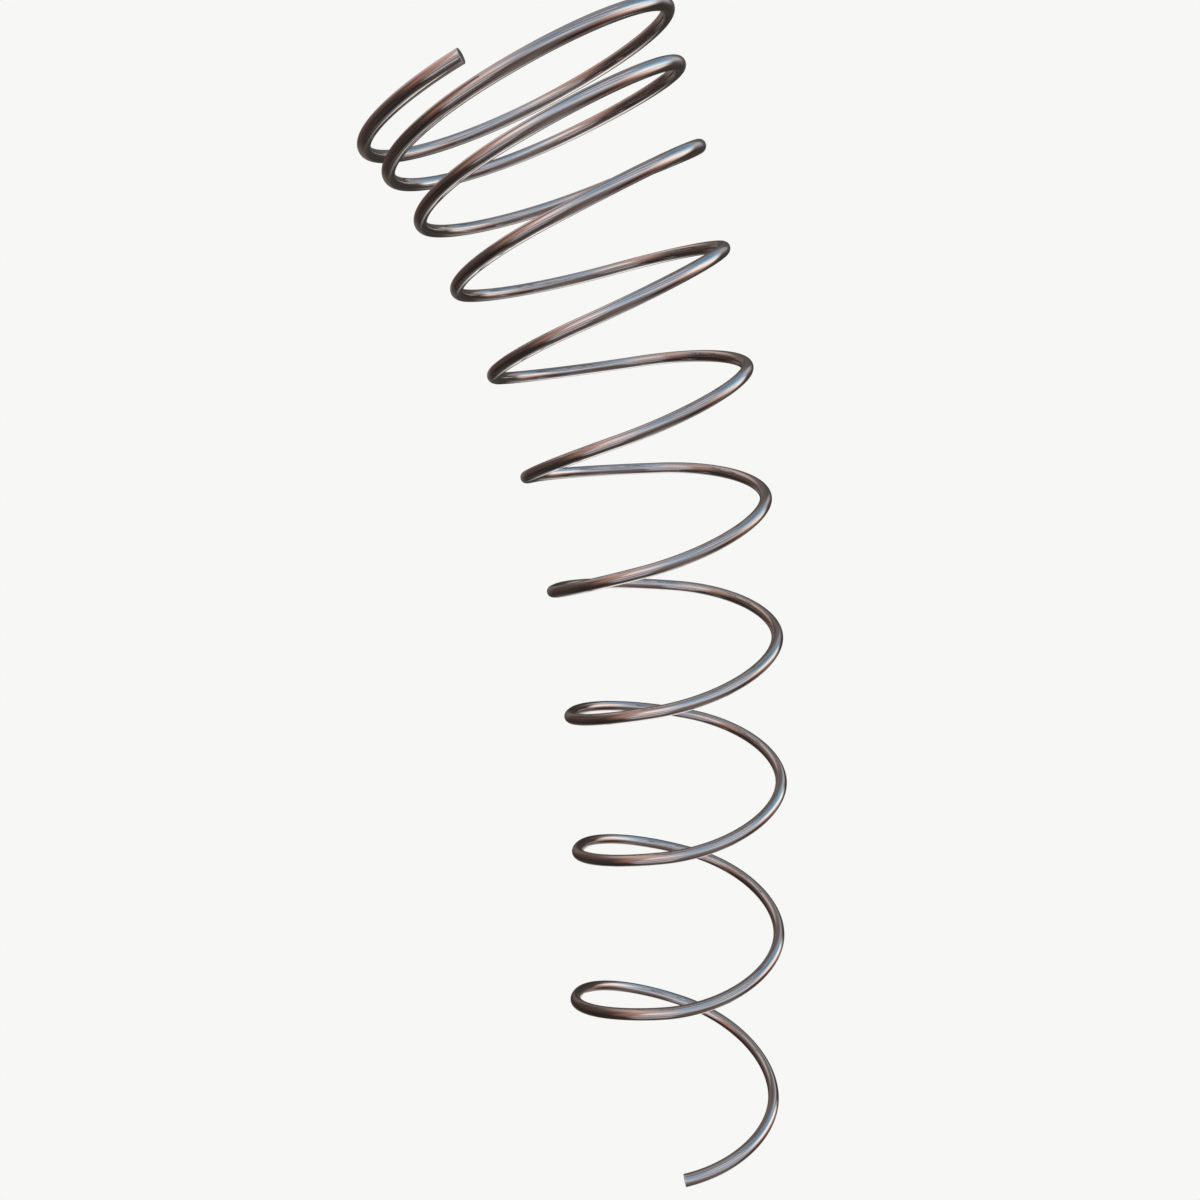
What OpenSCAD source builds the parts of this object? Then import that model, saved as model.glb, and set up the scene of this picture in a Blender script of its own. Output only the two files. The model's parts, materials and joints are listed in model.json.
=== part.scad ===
// Spring coil toy: one round wire wound into about ten open coils.
// The wire is divided at every quarter turn. At each cut the wire above twists about its own
// centre line against the wire below, which is how a coil spring stretches, closes and bends.
// +Z runs up through the lowest coil, +X is to the right and +Y to the back.
// The origin is the centre of the wire's lower end face. All sizes are in millimetres and degrees.

/* [Wire] */
// Diameter of the round wire
wire_d = 2.7; // [2:0.1:3]
// Wire below the first cut, in turns
lower_lead = 0.21; // [0.05:0.01:0.25]
// Wire above the last cut, in turns
upper_lead = 0.245; // [0.05:0.005:0.25]

/* [Coils] */
// Mean diameter of the lowest coil
lower_coil_d = 54; // [48:1:60]
// Mean diameter halfway up the wire
middle_coil_d = 54.5; // [50:0.5:62]
// Mean diameter of the top coil
upper_coil_d = 68; // [60:1:74]
// Number of cuts, four to a turn
cuts = 39; // [19:4:39]

/* [Stretched shape] */
// Rise of the wire in one turn at the bottom
lower_pitch = 44; // [36:1:48]
// Rise of the wire in one turn halfway up
middle_pitch = 26.5; // [24:0.5:34]
// Rise of the wire in one turn at the top
upper_pitch = 4.6; // [4.5:0.1:9]
// Lean of each turn to the left at the bottom
lower_lean_left = 0; // [-1:0.1:2]
// Lean of each turn to the left halfway up
middle_lean_left = 4; // [0:0.1:6]
// Lean of each turn to the left at the top
upper_lean_left = -1; // [-1:0.1:0]
// Lean of each turn to the front at the bottom
lower_lean_front = 7.3; // [0:0.1:8]
// Lean of each turn to the front halfway up
middle_lean_front = 1.5; // [0:0.1:3]
// Lean of each turn to the front at the top
upper_lean_front = 1.6; // [0:0.1:1.7]

/* [Hidden] */
links = cuts + 1;
cuts_per_turn = 4;
turn_step = 360 / cuts_per_turn;
wire_facets = 40;
coil_facets = 120;
QUARTERS = ["back_right", "back_left", "front_left", "front_right"];

// The value at height s, from 0 at the first cut to 1 at the last, of the smooth curve
// through a lower, a middle and an upper value.
function along(lower, middle, upper, s) =
    lower * (1 - s) * (1 - 2 * s) + middle * 4 * s * (1 - s) + upper * s * (2 * s - 1);

function height_of(cut) = cut / (cuts - 1);
function coil_r(cut) = along(lower_coil_d, middle_coil_d, upper_coil_d, height_of(cut)) / 2;
function pitch(cut) = along(lower_pitch, middle_pitch, upper_pitch, height_of(cut));
function lean_left(cut) = along(lower_lean_left, middle_lean_left, upper_lean_left, height_of(cut));
function lean_front(cut) =
    along(lower_lean_front, middle_lean_front, upper_lean_front, height_of(cut));

// Twist of the wire at a cut. The pitch sets the mean twist. A lean adds twist on one side of
// the coil and takes it away on the other side.
function twist(cut) =
    pitch(cut) / (cuts_per_turn * coil_r(cut)) * 180 / PI
    - lean_left(cut) / 2 * cos(turn_step * cut)
    - lean_front(cut) / 2 * sin(turn_step * cut);

// Bend of a quarter turn of wire that is twisted at its cuts, so that each cut stays on its side.
function quarter_bend(a) = 2 * acos(cos(turn_step / 2) / cos(a / 2));

// Each link of wire is a plane arc, bent to one radius.
function link_r(link) =
    link == 0 ? coil_r(0)
    : link == cuts ? coil_r(cuts - 1)
    : (coil_r(link - 1) + coil_r(link)) / 2;
function link_bend(link) =
    link == 0 ? lower_lead * cuts_per_turn * quarter_bend(twist(0))
    : link == cuts ? upper_lead * cuts_per_turn * quarter_bend(twist(cuts - 1))
    : quarter_bend((twist(link - 1) + twist(link)) / 2);

// Frames: X along the wire, Y to the centre of its coil, Z across both.
function move(p) = [[1, 0, 0, p[0]], [0, 1, 0, p[1]], [0, 0, 1, p[2]], [0, 0, 0, 1]];
function about_x(a) = [[1, 0, 0, 0], [0, cos(a), -sin(a), 0], [0, sin(a), cos(a), 0], [0, 0, 0, 1]];
function about_z(a) = [[cos(a), -sin(a), 0, 0], [sin(a), cos(a), 0, 0], [0, 0, 1, 0], [0, 0, 0, 1]];
function along_arc(r, a) = move([r * sin(a), r * (1 - cos(a)), 0]) * about_z(a);
function unit(v) = v / norm(v);

// The first coil's screw axis, seen in the frame at the first cut, becomes the part's +Z.
first_twist = twist(0);
first_bend = quarter_bend(first_twist);
screw_axis = unit([
    cos(first_bend / 2) * sin(first_twist / 2),
    sin(first_bend / 2) * sin(first_twist / 2),
    sin(first_bend / 2) * cos(first_twist / 2)
]);
back_axis = unit([1, 0, 0] - screw_axis * screw_axis[0]);
right_axis = cross(back_axis, screw_axis);
stand_up = [
    [right_axis[0], right_axis[1], right_axis[2], 0],
    [back_axis[0], back_axis[1], back_axis[2], 0],
    [screw_axis[0], screw_axis[1], screw_axis[2], 0],
    [0, 0, 0, 1]
];
lower_end_frame = stand_up * about_x(-first_twist) * about_z(-link_bend(0));

// Where each link starts: the end of the link before it, twisted at the cut between them.
FRAMES = [
    for (
        link = 0, frame = lower_end_frame;
        link < links;
        frame = frame * along_arc(link_r(link), link_bend(link)) * about_x(twist(link)),
        link = link + 1
    ) frame
];

function two_digits(n) = n < 10 ? str("0", n) : str(n);
function link_name(link) =
    link == 0 ? "lower_end"
    : link == cuts ? "upper_end"
    : str("coil_", two_digits(floor((link - 1) / cuts_per_turn) + 1), "_",
          QUARTERS[(link - 1) % cuts_per_turn]);

module wire_arc(r, bend) {
    translate([0, r, 0])
        rotate([0, 0, -90])
            rotate_extrude(angle = bend, $fn = coil_facets)
                translate([r, 0])
                    circle(d = wire_d, $fn = wire_facets);
}

module wire_link(link) {
    color("silver")
        multmatrix(FRAMES[link])
            wire_arc(link_r(link), link_bend(link));
}

for (link = [0 : cuts])
    wire_link(link);
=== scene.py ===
"""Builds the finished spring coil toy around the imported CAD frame, with its studio and camera.

Laid out as an add-on and run as a script. Lengths are in metres and angles in radians, in the
CAD frame.
"""

import json
from math import atan2, cos, pi, radians, sin

import bpy
from bpy.props import FloatProperty, FloatVectorProperty, IntProperty, PointerProperty
from mathutils import Matrix, Vector

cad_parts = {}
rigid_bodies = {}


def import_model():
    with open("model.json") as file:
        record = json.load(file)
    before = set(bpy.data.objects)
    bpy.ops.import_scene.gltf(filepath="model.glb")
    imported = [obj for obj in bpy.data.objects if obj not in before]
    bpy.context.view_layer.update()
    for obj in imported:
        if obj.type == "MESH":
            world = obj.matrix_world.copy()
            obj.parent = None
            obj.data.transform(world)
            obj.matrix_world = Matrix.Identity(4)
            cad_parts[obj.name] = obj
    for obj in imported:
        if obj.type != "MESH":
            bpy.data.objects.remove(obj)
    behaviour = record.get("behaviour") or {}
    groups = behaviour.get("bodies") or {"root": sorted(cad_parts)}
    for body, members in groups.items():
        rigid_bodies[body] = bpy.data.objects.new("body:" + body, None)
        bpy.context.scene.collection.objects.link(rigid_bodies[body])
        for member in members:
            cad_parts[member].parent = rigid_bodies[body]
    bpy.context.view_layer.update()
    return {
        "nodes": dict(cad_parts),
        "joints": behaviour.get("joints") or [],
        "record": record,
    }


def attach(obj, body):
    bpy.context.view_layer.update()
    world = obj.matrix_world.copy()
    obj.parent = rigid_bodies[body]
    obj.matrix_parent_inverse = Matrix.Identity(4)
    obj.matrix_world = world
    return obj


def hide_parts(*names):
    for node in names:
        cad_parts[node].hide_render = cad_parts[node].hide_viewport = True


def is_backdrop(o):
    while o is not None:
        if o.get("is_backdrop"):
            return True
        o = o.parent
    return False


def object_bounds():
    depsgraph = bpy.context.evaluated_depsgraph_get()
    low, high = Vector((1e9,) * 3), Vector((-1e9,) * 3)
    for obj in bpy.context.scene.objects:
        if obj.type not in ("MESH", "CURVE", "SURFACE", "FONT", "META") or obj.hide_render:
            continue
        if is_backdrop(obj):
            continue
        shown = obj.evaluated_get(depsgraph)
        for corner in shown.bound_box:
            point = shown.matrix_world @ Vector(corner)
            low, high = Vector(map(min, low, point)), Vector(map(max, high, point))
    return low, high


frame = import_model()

bl_info = {
    "name": "Spring Coil Toy",
    "version": (1, 0, 0),
    "blender": (4, 5, 0),
    "location": "3D View > Sidebar > Spring Toy",
    "description": "Winds the polished spring wire around the packed CAD frame, with its studio",
    "category": "Object",
}

WIRE_COORD = "wire_coord"
LOWER_END, UPPER_END = "lower_end", "upper_end"
FACE_DEPTH = 2e-6        # how far a corner of a flat face may lie off its plane
FLAT = 0.999             # least cosine between a flat face's normal and its axis
REACH_TOLERANCE = 1.01   # how near a stretch comes to its next station, in wire radii
SMOOTH_ANGLE = radians(30)
DRESSED_SEGMENTS = 3
COVE_RADIUS, WALL_HEIGHT = 0.6, 2.4
PROFILE_STEPS, STUDIO_SIDES = 10, 96
SENSOR_WIDTH = 36        # in millimetres
NEAREST_SEEN = 0.01


# ------------------------------------------------------ the line of the wire, from the frame

def wire_line():
    """The body names from the lower end up, and the wire's point and direction at their ends."""
    mounts = {m["name"]: m for m in frame["record"]["mounts"]}
    joint_above = {j["parent"]: j for j in frame["joints"]}
    low, high = mounts["lower_end_face"], mounts["upper_end_face"]
    bodies = [LOWER_END]
    stations = [(Vector(low["pos_m"]), -Vector(low["axis"]).normalized())]
    while bodies[-1] in joint_above:
        joint = joint_above[bodies[-1]]
        stations.append((Vector(joint["pos_m"]), Vector(joint["axis"]).normalized()))
        bodies.append(joint["child"])
    stations.append((Vector(high["pos_m"]), Vector(high["axis"]).normalized()))
    if bodies[-1] != UPPER_END:
        raise RuntimeError(f"the joints lead to {bodies[-1]}, not to {UPPER_END}")
    return bodies, stations


BODIES, STATIONS = wire_line()


def cad_wire_radius():
    """Half the wire's thickness: how far the lower end's flat face reaches from its middle."""
    point, along = STATIONS[0]
    corners = [v.co - point for v in frame["nodes"][LOWER_END].data.vertices]
    return max(corner.length for corner in corners if abs(corner.dot(along)) < FACE_DEPTH)


def stretch_bend(index):
    """The bend of one stretch of wire: its centre, axis, radius and swept angle."""
    (start, along), (end, along_end) = STATIONS[index], STATIONS[index + 1]
    axis = along.cross(along_end).normalized()
    sweep = along.angle(along_end)
    radius = (end - start).length / (2 * sin(sweep / 2))
    return start + axis.cross(along) * radius, axis, radius, sweep


def wire_marks():
    """At each station, a direction across the wire, carried on untwisted, and the way along it."""
    across = Vector((0, 0, 1)).cross(STATIONS[0][1]).normalized()
    distance, marks = 0.0, []
    for index in range(len(BODIES)):
        marks.append((across.copy(), distance))
        _, axis, radius, sweep = stretch_bend(index)
        across = Matrix.Rotation(sweep, 3, axis) @ across
        distance += radius * sweep
    return marks


MARKS = wire_marks()


# ------------------------------------------------------ settings shown in the sidebar

class SpringWireSettings(bpy.types.PropertyGroup):
    faces_round: IntProperty(
        name="Faces Round the Wire", description="Faces round the wire's section",
        default=64, min=12, max=96)
    faces_along: IntProperty(
        name="Faces Along a Stretch", description="Faces along a quarter turn of wire",
        default=48, min=8, max=128)
    wire_radius: FloatProperty(
        name="Wire Radius", description="Half the wire's thickness, as in the CAD model",
        default=cad_wire_radius(), unit="LENGTH")
    end_chamfer: FloatProperty(
        name="End Chamfer", description="Width of the dressed edge round each cut end",
        default=0.00012, unit="LENGTH")
    steel: FloatVectorProperty(
        name="Steel", description="Colour of the polished steel",
        subtype="COLOR", size=3, default=(0.72, 0.715, 0.71), min=0, max=1)
    bronzed: FloatVectorProperty(
        name="Bronzed Steel", description="Colour of the faintly tempered patches",
        subtype="COLOR", size=3, default=(0.60, 0.53, 0.48), min=0, max=1)
    cut_steel: FloatVectorProperty(
        name="Cut Steel", description="Colour of the bare cut ends",
        subtype="COLOR", size=3, default=(0.20, 0.185, 0.18), min=0, max=1)
    polish: FloatProperty(
        name="Polish Roughness", description="Roughness of the smoothest steel",
        default=0.045, min=0.02, max=0.6)


class SpringStageSettings(bpy.types.PropertyGroup):
    floor_drop: FloatProperty(
        name="Floor Drop", description="Height of the lower end above the floor",
        default=0.28, unit="LENGTH")
    studio_radius: FloatProperty(
        name="Studio Radius", description="Radius of the round studio", default=1.8, unit="LENGTH")
    paper: FloatVectorProperty(
        name="Paper", description="Colour of the floor and the backdrop",
        subtype="COLOR", size=3, default=(0.930, 0.930, 0.913), min=0, max=1)
    camera_place: FloatVectorProperty(
        name="Camera Place", description="Where the camera stands",
        subtype="TRANSLATION", size=3, default=(0.01611, -0.21898, 0.13002))
    camera_turn: FloatVectorProperty(
        name="Camera Turn", description="Yaw, pitch and roll of the camera",
        subtype="EULER", size=3, default=(radians(11.17), radians(0.08), radians(3.25)))
    lens: FloatProperty(
        name="Lens", description="Focal length of the camera in millimetres", default=28.82)


# ------------------------------------------------------ finishes

class Shader:
    """A short way to write a node tree: nodes are added by type and wired by socket name."""

    def __init__(self, tree):
        self.tree = tree
        tree.nodes.clear()

    def add(self, kind, **settings):
        node = self.tree.nodes.new(kind)
        for key, value in settings.items():
            if hasattr(node, key):
                setattr(node, key, value)
            else:
                node.inputs[key].default_value = value
        return node

    def wire(self, out, into):
        self.tree.links.new(out, into)

    def math(self, operation, *values, clamp=False):
        node = self.add("ShaderNodeMath", operation=operation, use_clamp=clamp)
        for socket, value in zip(node.inputs, values):
            if isinstance(value, bpy.types.NodeSocket):
                self.wire(value, socket)
            else:
                socket.default_value = value
        return node.outputs[0]

    def ramp(self, factor, stops):
        """A colour ramp through stops of (place, colour)."""
        node = self.add("ShaderNodeValToRGB")
        band = node.color_ramp
        while len(band.elements) < len(stops):
            band.elements.new(0.5)
        for element, (place, colour) in zip(band.elements, stops):
            element.position = place
            element.color = (*colour, 1)
        self.wire(factor, node.inputs[0])
        return node.outputs[0]

    def mix(self, factor, first, second):
        """The first colour where factor is 0, and the second where it is 1."""
        node = self.add("ShaderNodeMix", data_type="RGBA")
        self.wire(factor, node.inputs[0])
        for socket, colour in zip(node.inputs[6:8], (first, second)):
            if isinstance(colour, bpy.types.NodeSocket):
                self.wire(colour, socket)
            else:
                socket.default_value = (*colour, 1)
        return node.outputs[2]

    def product(self, first, *others):
        for other in others:
            first = self.math("MULTIPLY", first, other)
        return first

    def noise(self, place, scale, detail, roughness=0.5):
        """Noise read at place, stretched by scale along each of its axes."""
        mapping = self.add("ShaderNodeMapping")
        mapping.inputs["Scale"].default_value = scale
        self.wire(place, mapping.inputs["Vector"])
        node = self.add("ShaderNodeTexNoise")
        node.inputs["Scale"].default_value = 1.0
        node.inputs["Detail"].default_value = detail
        node.inputs["Roughness"].default_value = roughness
        self.wire(mapping.outputs[0], node.inputs["Vector"])
        return node.outputs["Fac"]

    def ease(self, value, low, high):
        """0 at low and 1 at high, with a soft start and stop; low may be the larger."""
        node = self.add("ShaderNodeMapRange", interpolation_type="SMOOTHSTEP")
        self.wire(value, node.inputs[0])
        ends = (high, low, 1.0, 0.0) if low > high else (low, high, 0.0, 1.0)
        for socket, number in zip(node.inputs[1:5], ends):
            socket.default_value = number
        return node.outputs[0]

    def spread(self, value, low, high, to_low, to_high):
        """value, moved from the range low to high onto the range to_low to to_high."""
        node = self.add("ShaderNodeMapRange")
        self.wire(value, node.inputs[0])
        for socket, number in zip(node.inputs[1:5], (low, high, to_low, to_high)):
            socket.default_value = number
        return node.outputs[0]


def new_material(name):
    material = bpy.data.materials.new(name)
    material.use_nodes = True
    return material, Shader(material.node_tree)


def end_material(shader, surface):
    """Wires a finished surface to the material's output."""
    output = shader.add("ShaderNodeOutputMaterial")
    shader.wire(surface.outputs[0], output.inputs["Surface"])


def polished_wire(settings):
    """Drawn and polished spring steel: fine marks along the wire, over faint tempered patches."""
    material, shader = new_material("polished_spring_wire")
    place = shader.add("ShaderNodeAttribute", attribute_name=WIRE_COORD).outputs["Vector"]
    die_marks = shader.noise(place, (2300, 2300, 22), 2, 0.6)
    fine_marks = shader.noise(place, (7000, 7000, 90), 2, 0.5)
    temper = shader.noise(place, (420, 420, 38), 2, 0.55)
    rub = shader.noise(place, (900, 900, 260), 3, 0.6)

    temper_share = shader.spread(temper, 0.42, 0.70, 0.0, 0.55)
    tinted = shader.mix(temper_share, settings.steel, settings.bronzed)
    mark_depth = shader.spread(die_marks, 0.36, 0.54, 0.55, 0.0)
    mark_colour = (0.20, 0.17, 0.16)
    colour = shader.mix(mark_depth, tinted, mark_colour)

    rough = shader.spread(fine_marks, 0.30, 0.75, settings.polish, settings.polish + 0.07)
    rough = shader.math("ADD", rough, shader.spread(rub, 0.52, 0.80, 0.0, 0.10))
    rough = shader.math("ADD", rough, shader.spread(die_marks, 0.30, 0.60, 0.05, 0.0), clamp=True)

    relief = shader.math("ADD", die_marks, shader.math("MULTIPLY", fine_marks, 0.5))
    bump = shader.add("ShaderNodeBump", Strength=0.10, Distance=0.00002)
    shader.wire(relief, bump.inputs["Height"])

    steel = shader.add("ShaderNodeBsdfPrincipled", Metallic=1.0)
    shader.wire(colour, steel.inputs["Base Color"])
    shader.wire(rough, steel.inputs["Roughness"])
    shader.wire(bump.outputs[0], steel.inputs["Normal"])
    end_material(shader, steel)
    return material


def cut_end(settings):
    """The face that the cutter leaves: duller steel with close parallel shear lines."""
    material, shader = new_material("cut_wire_end")
    place = shader.add("ShaderNodeAttribute", attribute_name=WIRE_COORD).outputs["Vector"]
    shear = shader.noise(place, (900, 14000, 2000), 2, 0.6)
    grain = shader.noise(place, (9000, 9000, 9000), 3, 0.6)
    shear_depth = shader.spread(shear, 0.35, 0.70, 0.0, 0.5)
    shear_colour = (0.10, 0.09, 0.085)
    shade = shader.mix(shear_depth, settings.cut_steel, shear_colour)
    steel = shader.add("ShaderNodeBsdfPrincipled", Metallic=1.0)
    shader.wire(shade, steel.inputs["Base Color"])
    shader.wire(shader.spread(grain, 0.3, 0.7, 0.28, 0.46), steel.inputs["Roughness"])
    bump = shader.add("ShaderNodeBump", Strength=0.4, Distance=0.00003)
    shader.wire(shear, bump.inputs["Height"])
    shader.wire(bump.outputs[0], steel.inputs["Normal"])
    end_material(shader, steel)
    return material


FINISHES = {}


def finish(name):
    """The named finish, made once and shared by every stretch of wire."""
    if name not in FINISHES:
        makers = {"polished": polished_wire, "cut": cut_end}
        FINISHES[name] = makers[name](bpy.context.scene.spring_wire)
    return FINISHES[name]


# ------------------------------------------------------ the wire

def select_faces(mesh, test):
    """In object mode, leaves selected only the faces that pass the test."""
    for item in (*mesh.vertices, *mesh.edges):
        item.select = False
    for face in mesh.polygons:
        face.select = test(face)


def wind_stretch(index, settings):
    """One stretch of wire: its section spun round the middle of its bend, with its ends closed."""
    body = BODIES[index]
    point, along = STATIONS[index]
    across, _ = MARKS[index]
    centre, axis, _, sweep = stretch_bend(index)
    side = along.cross(across).normalized()
    bpy.ops.object.select_all(action="DESELECT")
    bpy.ops.mesh.primitive_circle_add(
        vertices=settings.faces_round, radius=settings.wire_radius, fill_type="NOTHING")
    piece = bpy.context.object
    piece.name = piece.data.name = f"{body}_wire"
    turned = Matrix((across, side, along)).transposed().to_4x4()
    piece.matrix_world = Matrix.Translation(point) @ turned
    bpy.ops.object.transform_apply(location=True, rotation=True, scale=True)
    bpy.ops.object.mode_set(mode="EDIT")
    bpy.ops.mesh.select_all(action="SELECT")
    bpy.ops.mesh.spin(steps=settings.faces_along, angle=-sweep, center=centre, axis=axis)
    bpy.ops.mesh.select_all(action="SELECT")
    bpy.ops.mesh.fill_holes(sides=0)
    bpy.ops.mesh.normals_make_consistent(inside=False)
    bpy.ops.object.mode_set(mode="OBJECT")
    return piece


def dress_end(piece, station, outward, settings):
    """Chamfers the rim of a free end and gives its face the cut finish."""
    point = STATIONS[station][0]

    def on_end(face):
        centred = (face.center - point).length < settings.wire_radius / 2
        return centred and face.normal.dot(outward) > FLAT

    select_faces(piece.data, on_end)
    bpy.ops.object.mode_set(mode="EDIT")
    bpy.ops.mesh.select_mode(type="FACE")
    bpy.ops.mesh.region_to_loop()
    bpy.ops.mesh.bevel(
        offset=settings.end_chamfer, segments=DRESSED_SEGMENTS, affect="EDGES")
    bpy.ops.mesh.select_mode(type="VERT")
    bpy.ops.object.mode_set(mode="OBJECT")
    piece.data.materials.append(finish("cut"))
    for face in piece.data.polygons:
        if on_end(face):
            face.material_index = 1


def mark_wire(piece, index):
    """Stores at each vertex its place across and along the wire, for the drawing marks."""
    point, along = STATIONS[index]
    across, distance = MARKS[index]
    centre, axis, radius, _ = stretch_bend(index)
    side = along.cross(across).normalized()
    inward = axis.cross(along)
    coord = piece.data.attributes.new(WIRE_COORD, "FLOAT_VECTOR", "POINT")
    for vertex, mark in zip(piece.data.vertices, coord.data):
        spoke = vertex.co - centre
        turn = atan2(spoke.dot(along), -spoke.dot(inward))
        flat = Matrix.Rotation(-turn, 3, axis) @ spoke + centre - point
        mark.vector = (flat.dot(across), flat.dot(side), distance + radius * turn)


def make_stretch(index):
    """Winds, dresses and finishes one stretch, and hangs it on its CAD body."""
    settings = bpy.context.scene.spring_wire
    body = BODIES[index]
    piece = wind_stretch(index, settings)
    piece.data.materials.append(finish("polished"))
    if body == LOWER_END:
        dress_end(piece, 0, -STATIONS[0][1], settings)
    if body == UPPER_END:
        dress_end(piece, -1, STATIONS[-1][1], settings)
    mark_wire(piece, index)
    bpy.ops.object.select_all(action="DESELECT")
    piece.select_set(True)
    bpy.context.view_layer.objects.active = piece
    bpy.ops.object.shade_smooth_by_angle(angle=SMOOTH_ANGLE)
    nearest = min((v.co - STATIONS[index + 1][0]).length for v in piece.data.vertices)
    if nearest > REACH_TOLERANCE * settings.wire_radius:
        raise RuntimeError(f"{piece.name} doesn't reach the next stretch")
    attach(piece, body)
    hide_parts(body)
    return piece


class SPRING_OT_lower_end(bpy.types.Operator):
    """Wind the lowest stretch of wire, with its dressed free end"""

    bl_idname = "spring.lower_end"
    bl_label = "Wind Lower End"

    def execute(self, context):
        make_stretch(0)
        return {"FINISHED"}


class SPRING_OT_coil_stretches(bpy.types.Operator):
    """Wind every quarter turn of wire between the two free ends"""

    bl_idname = "spring.coil_stretches"
    bl_label = "Wind Coil Stretches"

    def execute(self, context):
        for index in range(1, len(BODIES) - 1):
            make_stretch(index)
        return {"FINISHED"}


class SPRING_OT_upper_end(bpy.types.Operator):
    """Wind the topmost stretch of wire, with its dressed free end"""

    bl_idname = "spring.upper_end"
    bl_label = "Wind Upper End"

    def execute(self, context):
        make_stretch(len(BODIES) - 1)
        return {"FINISHED"}


# ------------------------------------------------------ studio and camera

def studio_paper(settings):
    """Evenly lit seamless paper."""
    material, shader = new_material("studio_paper")
    place = shader.add("ShaderNodeTexCoord").outputs["Object"]
    fibre = shader.noise(place, (160, 160, 160), 3)
    fibre_colour = (0.86, 0.86, 0.85)
    tone = shader.mix(shader.spread(fibre, 0.3, 0.7, 0.0, 0.02), settings.paper, fibre_colour)
    glow = shader.add("ShaderNodeEmission", Strength=1.0)
    shader.wire(tone, glow.inputs["Color"])
    end_material(shader, glow)
    return material


def studio_profile(radius):
    """Reach and height, from the floor's edge, of the cove, the wall and the low dome over it."""
    quarter = [step * pi / 2 / PROFILE_STEPS for step in range(PROFILE_STEPS + 1)]
    floor_reach, dome_foot, dome_rise = radius - COVE_RADIUS, COVE_RADIUS + WALL_HEIGHT, radius / 2
    cove = [(floor_reach + COVE_RADIUS * sin(a), COVE_RADIUS * (1 - cos(a))) for a in quarter[1:]]
    dome = [(radius * cos(a), dome_foot + dome_rise * sin(a)) for a in quarter[:-1]]
    return cove + dome


def build_studio(settings):
    """A round floor that curves up into the wall and closes overhead, as one sheet of paper."""
    low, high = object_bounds()
    middle = (low + high) / 2
    reach, height = settings.studio_radius - COVE_RADIUS, 0.0
    bpy.ops.object.select_all(action="DESELECT")
    bpy.ops.mesh.primitive_circle_add(
        vertices=STUDIO_SIDES, radius=reach, fill_type="NGON",
        location=(middle.x, middle.y, low.z - settings.floor_drop))
    studio = bpy.context.object
    studio.name = studio.data.name = "studio_floor"
    bpy.ops.object.transform_apply(location=True, rotation=True, scale=True)
    bpy.ops.object.mode_set(mode="EDIT")
    bpy.ops.mesh.select_all(action="SELECT")
    for new_reach, new_height in studio_profile(settings.studio_radius):
        bpy.ops.mesh.extrude_region_move(
            TRANSFORM_OT_translate={"value": (0, 0, new_height - height)})
        scale = new_reach / reach
        bpy.ops.transform.resize(
            value=(scale, scale, 1), center_override=(middle.x, middle.y, 0))
        reach, height = new_reach, new_height
    bpy.ops.mesh.select_all(action="SELECT")
    bpy.ops.mesh.normals_make_consistent(inside=True)
    bpy.ops.object.mode_set(mode="OBJECT")
    bpy.ops.object.shade_smooth_by_angle(angle=2 * SMOOTH_ANGLE)
    studio.data.materials.append(studio_paper(settings))
    studio.visible_glossy = studio.visible_diffuse = studio.visible_shadow = False
    studio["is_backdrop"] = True


# The panels of the studio light. Each stop is an elevation in degrees and the colour there.
PAPER_BEHIND = (
    (-74, (0.26, 0.23, 0.22)), (-60, (0.66, 0.62, 0.60)), (-48, (1.06, 1.02, 1.00)),
    (-30, (1.04, 1.00, 0.98)), (-17, (0.50, 0.47, 0.46)), (-5, (0.10, 0.09, 0.08)),
    (14, (0.08, 0.07, 0.06)), (44, (0.19, 0.17, 0.16)), (72, (0.34, 0.34, 0.35)))
DIM_CORNER = (
    (-60, (0.36, 0.32, 0.31)), (-32, (0.13, 0.12, 0.11)), (-16, (0.07, 0.06, 0.05)),
    (5, (0.22, 0.19, 0.17)), (25, (0.24, 0.21, 0.20)), (45, (0.22, 0.18, 0.17)),
    (58, (0.34, 0.31, 0.30)), (75, (0.40, 0.39, 0.40)))
LEFT_WALL = (
    (-50, (0.06, 0.05, 0.05)), (-32, (0.08, 0.07, 0.06)), (-18, (0.08, 0.06, 0.05)),
    (0, (0.13, 0.09, 0.08)), (16, (0.16, 0.11, 0.10)), (28, (0.20, 0.17, 0.16)),
    (39, (0.50, 0.40, 0.38)), (52, (0.66, 0.56, 0.54)), (70, (0.48, 0.46, 0.47)))
CURTAIN = (
    (-50, (0.07, 0.05, 0.04)), (-32, (0.19, 0.10, 0.08)), (-20, (0.28, 0.15, 0.11)),
    (-10, (0.38, 0.22, 0.17)), (0, (0.46, 0.27, 0.20)), (12, (0.52, 0.31, 0.25)),
    (24, (0.55, 0.36, 0.32)), (40, (0.60, 0.46, 0.43)), (54, (0.53, 0.46, 0.45)),
    (75, (0.47, 0.48, 0.50)))
HEM = (
    (-50, (0.18, 0.09, 0.07)), (-32, (0.30, 0.18, 0.15)), (-20, (0.38, 0.26, 0.23)),
    (-8, (0.54, 0.38, 0.34)), (6, (0.82, 0.66, 0.60)), (18, (0.94, 0.82, 0.78)),
    (30, (0.76, 0.72, 0.76)), (50, (0.44, 0.46, 0.50)), (75, (0.56, 0.54, 0.58)))
SCREEN = (
    (-50, (0.22, 0.17, 0.15)), (-32, (0.24, 0.19, 0.18)), (-20, (0.28, 0.26, 0.27)),
    (-9, (0.46, 0.46, 0.49)), (4, (0.62, 0.64, 0.70)), (14, (0.58, 0.68, 0.79)),
    (28, (0.41, 0.53, 0.67)), (44, (0.33, 0.43, 0.54)), (75, (0.47, 0.52, 0.58)))
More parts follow.
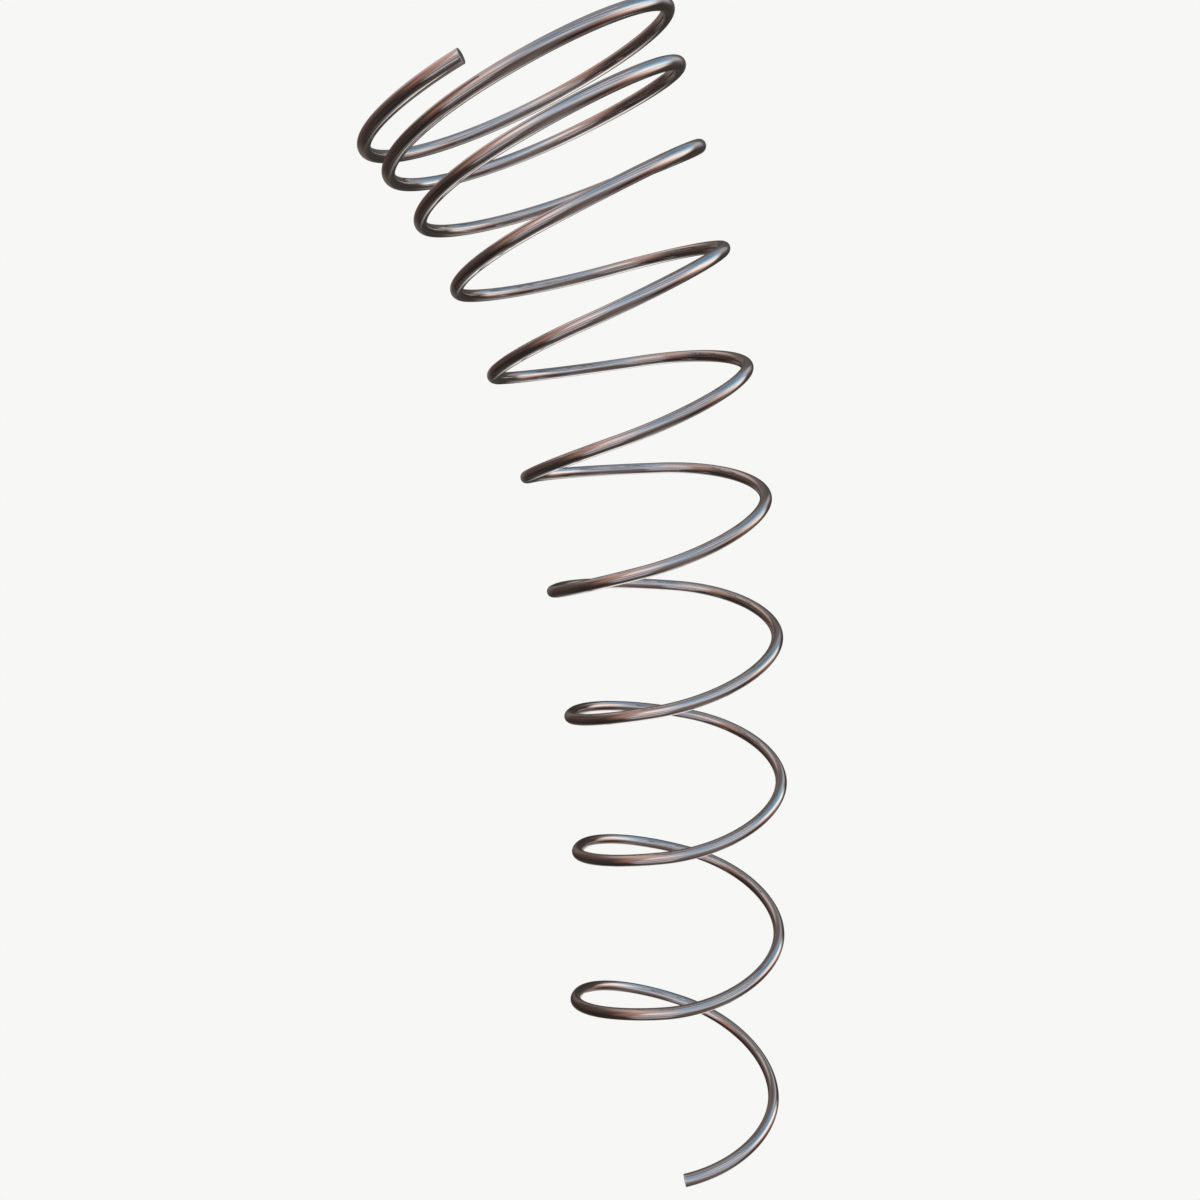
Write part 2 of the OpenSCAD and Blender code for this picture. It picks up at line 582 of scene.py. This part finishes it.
WINDOW = (
    (-50, (0.28, 0.24, 0.22)), (-32, (0.09, 0.06, 0.05)), (-20, (0.14, 0.07, 0.06)),
    (-9, (0.30, 0.18, 0.14)), (0, (0.56, 0.39, 0.33)), (10, (0.94, 0.79, 0.72)),
    (20, (1.06, 1.00, 0.97)), (31, (0.86, 0.96, 1.04)), (42, (0.44, 0.62, 0.78)),
    (54, (0.32, 0.44, 0.56)), (70, (0.23, 0.31, 0.39)))
DARK_WALL = (
    (-50, (0.50, 0.47, 0.46)), (-32, (0.34, 0.29, 0.28)), (-20, (0.28, 0.23, 0.21)),
    (-8, (0.15, 0.12, 0.10)), (10, (0.10, 0.08, 0.07)), (22, (0.14, 0.11, 0.10)),
    (32, (0.36, 0.33, 0.34)), (42, (0.54, 0.53, 0.57)), (54, (0.35, 0.45, 0.54)),
    (72, (0.21, 0.28, 0.35)))
# Round from behind, by way of the left, the front and the right: the degrees from the front over
# which the light changes from the panel before, and the next panel.
PANELS_ROUND = (
    (-178, -166, DIM_CORNER), (-156, -140, LEFT_WALL), (-86, -60, CURTAIN), (-56, -42, HEM),
    (-30, -8, SCREEN), (50, 88, WINDOW), (112, 130, DARK_WALL), (142, 158, PAPER_BEHIND))
# The blinds: pale slats with dark gaps, by the angle in radians from the middle of the nearest gap.
BLIND_STOPS = (
    (0.05, (0.12, 0.10, 0.10)), (0.09, (0.74, 0.72, 0.76)), (0.24, (0.66, 0.65, 0.70)))
BLIND_HALF_STEP, BLIND_OFFSET, BLIND_SHARE = 0.24, 0.1, 0.7
FLOOR_SHADE, CEILING_SHADE = (0.13, 0.11, 0.10), (0.34, 0.35, 0.37)
LIGHT_CONTRAST = LIGHT_STRENGTH = 1.3


def studio_light(scene, camera_yaw):
    """Soft light that the steel reflects. Going round from behind on the left: a dim wall, a copper
    curtain with a cream hem, a cool screen, a bright window over a brown bench, a dark wall, and
    pale paper behind. Blinds hang in front, above on the right and below on the left."""
    world = bpy.data.worlds.new("soft_studio_light")
    world.use_nodes = True
    scene.world = world
    shader = Shader(world.node_tree)
    direction = shader.add("ShaderNodeTexCoord").outputs["Generated"]
    unit = shader.add("ShaderNodeVectorMath", operation="NORMALIZE")
    shader.wire(direction, unit.inputs[0])

    def along(turned):
        """How far a direction points along the level heading turned from the front to the right."""
        heading = camera_yaw + turned - pi / 2
        dot = shader.add("ShaderNodeVectorMath", operation="DOT_PRODUCT")
        shader.wire(unit.outputs[0], dot.inputs[0])
        dot.inputs[1].default_value = (cos(heading), sin(heading), 0)
        return dot.outputs["Value"]

    parts = shader.add("ShaderNodeSeparateXYZ")
    shader.wire(unit.outputs[0], parts.inputs[0])
    turn = shader.math("ARCTAN2", along(pi / 2), along(0))
    lift = shader.math("ARCSINE", parts.outputs["Z"])
    rise = shader.spread(lift, -pi / 2, pi / 2, 0.0, 1.0)

    def fade(value, low, high):
        """0 at low and 1 at high, both in degrees."""
        return shader.ease(value, radians(low), radians(high))

    def panel(stops):
        """A panel whose colour changes with elevation."""
        return shader.ramp(rise, [((degree + 90) / 180, colour) for degree, colour in stops])

    colour = panel(PAPER_BEHIND)
    for low, high, stops in PANELS_ROUND:
        colour = shader.mix(fade(turn, low, high), colour, panel(stops))

    raised = shader.math("ADD", lift, BLIND_OFFSET)
    blinds = shader.ramp(shader.math("PINGPONG", raised, BLIND_HALF_STEP), BLIND_STOPS)
    above = shader.product(fade(turn, 4, 16), fade(turn, 76, 50), fade(lift, 8, 18))
    below = shader.product(fade(turn, -64, -46), fade(turn, 6, -8), fade(lift, -6, -16))
    hung = shader.product(shader.math("MAXIMUM", above, below), BLIND_SHARE)
    colour = shader.mix(hung, colour, blinds)
    colour = shader.mix(fade(lift, -58, -76), colour, FLOOR_SHADE)
    colour = shader.mix(fade(lift, 60, 80), colour, CEILING_SHADE)

    deepened = shader.add("ShaderNodeGamma", Gamma=LIGHT_CONTRAST)
    shader.wire(colour, deepened.inputs["Color"])
    background = shader.add("ShaderNodeBackground", Strength=LIGHT_STRENGTH)
    shader.wire(deepened.outputs[0], background.inputs["Color"])
    output = shader.add("ShaderNodeOutputWorld")
    shader.wire(background.outputs[0], output.inputs["Surface"])


def place_camera(scene, settings):
    """The camera stands close in front, level with the middle of the coil."""
    yaw, pitch, roll = settings.camera_turn
    data = bpy.data.cameras.new("front_camera")
    data.sensor_width = SENSOR_WIDTH
    data.lens = settings.lens
    data.clip_start = NEAREST_SEEN
    camera = bpy.data.objects.new("front_camera", data)
    scene.collection.objects.link(camera)
    turn = (Matrix.Rotation(yaw, 4, "Z") @ Matrix.Rotation(pi / 2 + pitch, 4, "X")
            @ Matrix.Rotation(roll, 4, "Z"))
    camera.matrix_world = Matrix.Translation(settings.camera_place) @ turn
    scene.camera = camera


class SPRING_OT_stage(bpy.types.Operator):
    """Set up the pale studio floor, the soft light and the camera"""

    bl_idname = "spring.stage"
    bl_label = "Set Stage"

    def execute(self, context):
        settings = context.scene.spring_stage
        place_camera(context.scene, settings)
        build_studio(settings)
        studio_light(context.scene, settings.camera_turn[0])
        context.scene.view_settings.view_transform = "Standard"
        return {"FINISHED"}


# ------------------------------------------------------ sidebar and registration

class SPRING_PT_toy(bpy.types.Panel):
    """Sizes, colours and building steps of the spring coil toy"""

    bl_idname = "SPRING_PT_toy"
    bl_label = "Spring Coil Toy"
    bl_space_type = "VIEW_3D"
    bl_region_type = "UI"
    bl_category = "Spring Toy"

    def draw(self, context):
        layout = self.layout
        for group in (context.scene.spring_wire, context.scene.spring_stage):
            for name in group.__annotations__:
                layout.prop(group, name)
        for step in STEPS:
            layout.operator(step.bl_idname)


STEPS = (SPRING_OT_stage, SPRING_OT_lower_end, SPRING_OT_coil_stretches, SPRING_OT_upper_end)
CLASSES = (SpringWireSettings, SpringStageSettings, *STEPS, SPRING_PT_toy)


def register():
    for item in CLASSES:
        bpy.utils.register_class(item)
    bpy.types.Scene.spring_wire = PointerProperty(type=SpringWireSettings)
    bpy.types.Scene.spring_stage = PointerProperty(type=SpringStageSettings)


def unregister():
    del bpy.types.Scene.spring_wire
    del bpy.types.Scene.spring_stage
    for item in reversed(CLASSES):
        bpy.utils.unregister_class(item)


def main():
    register()
    bpy.ops.spring.stage()
    bpy.ops.spring.lower_end()
    bpy.ops.spring.coil_stretches()
    bpy.ops.spring.upper_end()


if __name__ == "__main__":
    main()
